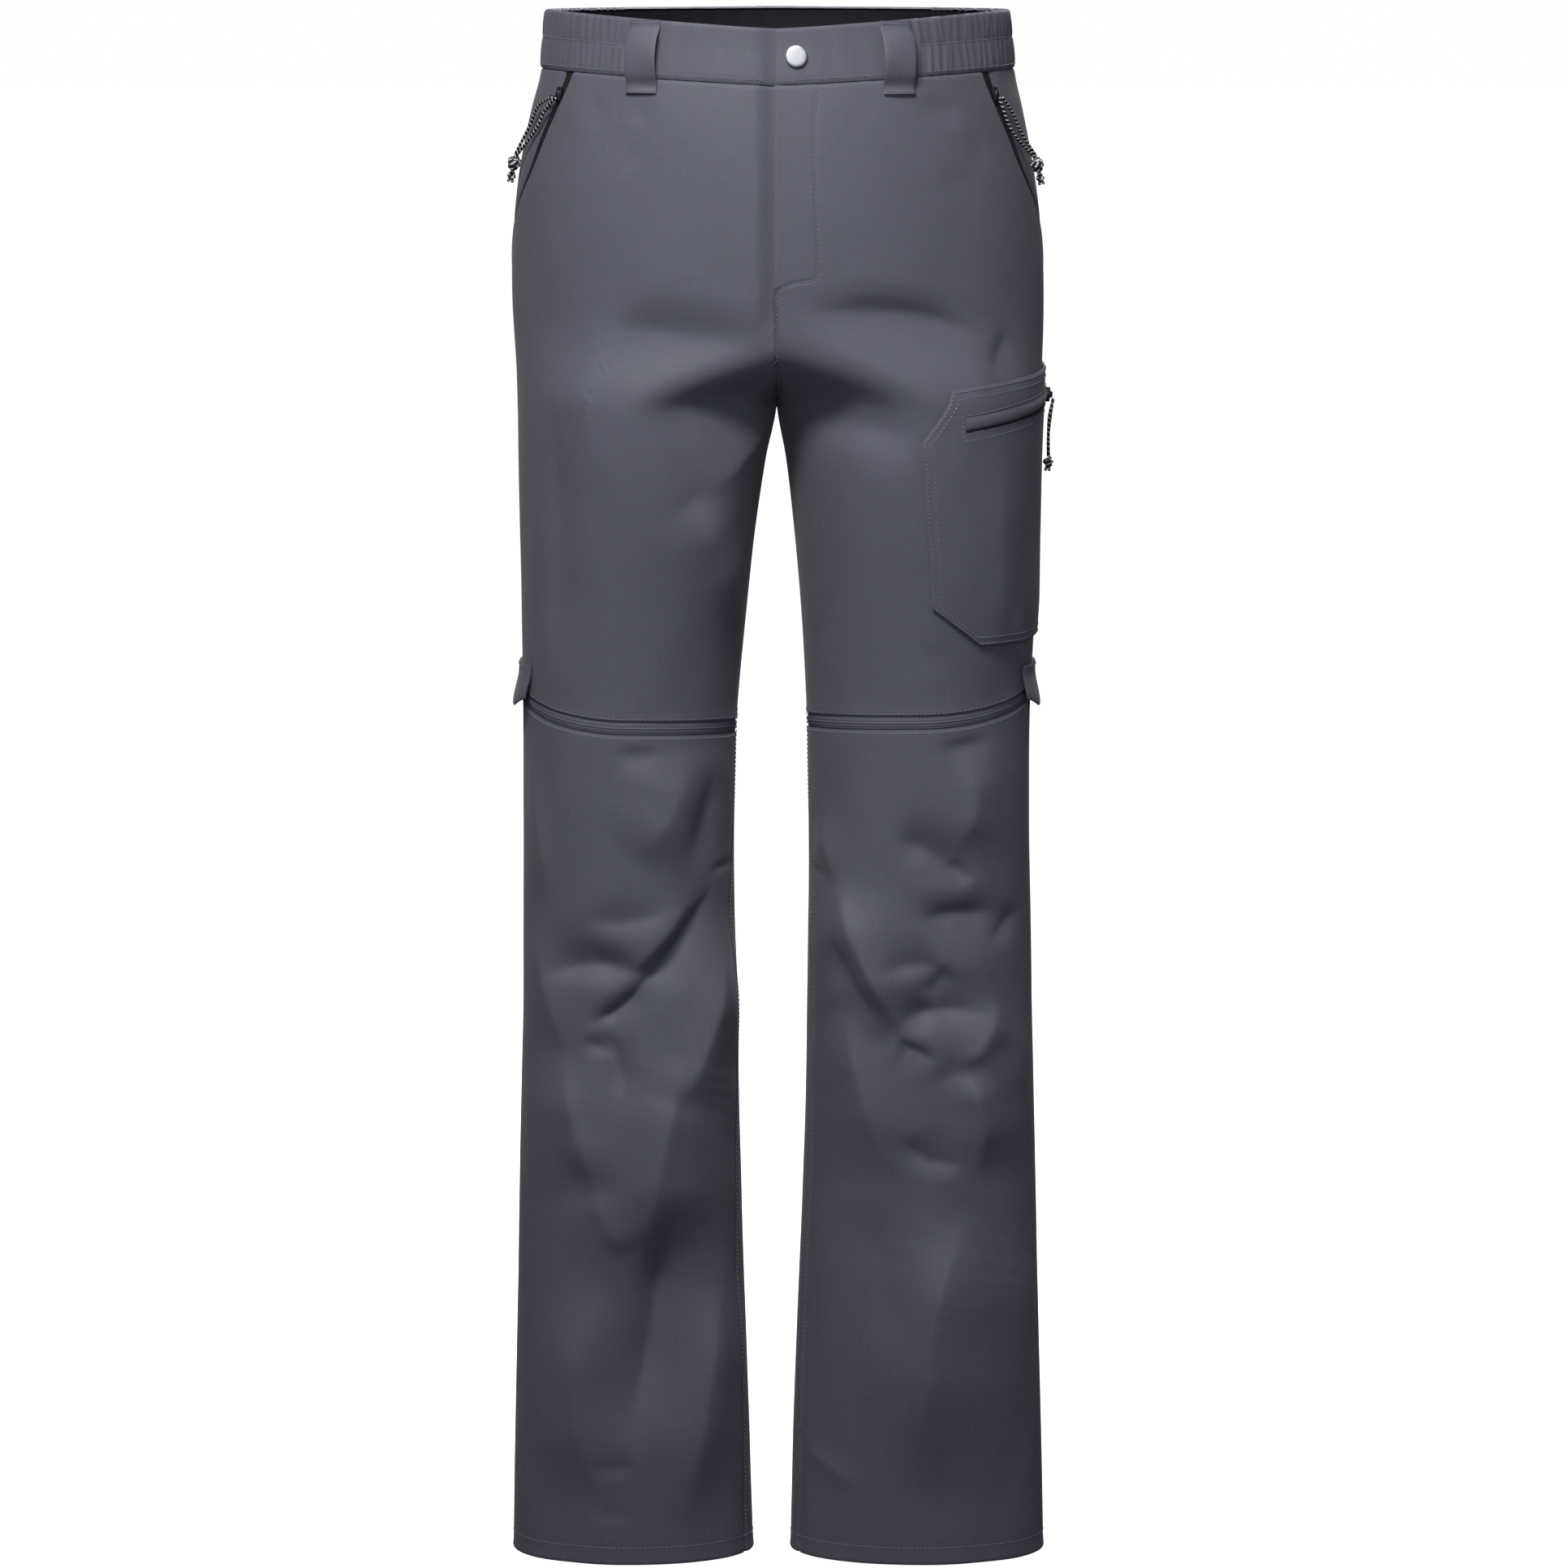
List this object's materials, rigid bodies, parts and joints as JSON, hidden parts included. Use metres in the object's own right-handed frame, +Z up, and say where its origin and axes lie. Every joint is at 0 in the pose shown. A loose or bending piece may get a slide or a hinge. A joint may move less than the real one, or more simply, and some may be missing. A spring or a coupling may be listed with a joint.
{
  "type": "convertible zip-off trousers",
  "caption": "Convertible hiking trousers with legs that zip off at the knee, a gathered waistband, belt loops, slanted zip pockets and a zipped cargo pocket.",
  "frame": {"origin": "centre of the waist, level with the middle of the snap side of the waistband", "axes": "+Z up the trousers from the hems to the waist, +X to the wearer's left, +Y to the wearer's back"},
  "size_m": [0.3817, 0.2535, 1.0912],
  "materials": {
    "cloth": "fine plain weave, matt",
    "zip_tape": "woven tape, matt",
    "slider_metal": "satin",
    "snap_metal": "satin",
    "cord": "braided, matt"
  },
  "bodies": {
    "root": {"belt_loop_back_centre": "cloth", "belt_loop_back_left": "cloth", "belt_loop_back_right": "cloth", "belt_loop_front_left": "cloth", "belt_loop_front_right": "cloth", "cargo_pocket": "cloth", "cargo_slider": "slider_metal", "cargo_zip": "zip_tape", "hand_pocket_facing_left": "cloth", "hand_pocket_facing_right": "cloth", "hand_slider_left": "slider_metal", "hand_slider_right": "slider_metal", "hand_zip_left": "zip_tape", "hand_zip_right": "zip_tape", "knee_flap_left": "cloth", "knee_flap_right": "cloth", "knee_slider_left": "slider_metal", "knee_slider_right": "slider_metal", "knee_zip_left": "zip_tape", "knee_zip_right": "zip_tape", "lower_back_left": "cloth", "lower_back_right": "cloth", "lower_front_left": "cloth", "lower_front_right": "cloth", "pull_knot_cargo": "cord", "pull_knot_left": "cord", "pull_knot_right": "cord", "pull_strand_cargo_front": "cord", "pull_strand_cargo_rear": "cord", "pull_strand_left_front": "cord", "pull_strand_left_rear": "cord", "pull_strand_right_front": "cord", "pull_strand_right_rear": "cord", "snap_button": "snap_metal", "upper_back_left": "cloth", "upper_back_right": "cloth", "upper_front_left": "cloth", "upper_front_right": "cloth", "waistband_back": "cloth", "waistband_elastic_left": "cloth", "waistband_elastic_right": "cloth", "waistband_front_left": "cloth", "waistband_front_right": "cloth"}
  },
  "joints": []
}
